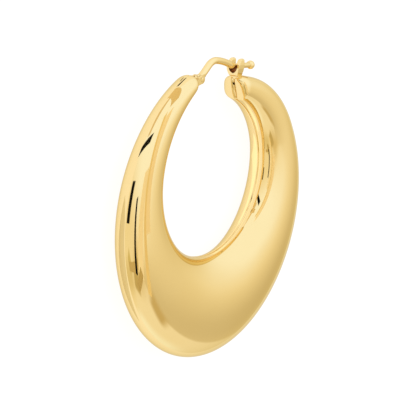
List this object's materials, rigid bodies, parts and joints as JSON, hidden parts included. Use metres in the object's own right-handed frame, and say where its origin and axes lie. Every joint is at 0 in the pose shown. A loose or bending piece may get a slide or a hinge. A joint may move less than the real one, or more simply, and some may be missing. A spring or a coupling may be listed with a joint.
{
  "type": "hoop earring",
  "caption": "Graduated puffed hoop earring: hollow polished gold tube, widest opposite the clasp, with a hinged snap-bar ear wire and a V catch.",
  "frame": {"origin": "on the surface the earring lies on, under the middle of its bounding box", "axes": "+Z out of the hoop's front face, as it lies on its side; +Y towards the clasp; +X towards the arm with the catch"},
  "size_m": [0.045, 0.0456, 0.0076],
  "materials": {
    "gold": "polished"
  },
  "bodies": {
    "hoop": {"hoop": "gold", "hinge_pin": "gold"},
    "ear_wire": {"ear_wire": "gold"}
  },
  "joints": [
    {"name": "ear_wire_hinge", "type": "hinge", "parent": "hoop", "child": "ear_wire", "pos_m": [-0.0041, 0.0201, 0.00381], "axis": [0, 0, 1], "range_deg": [0, 75]}
  ]
}
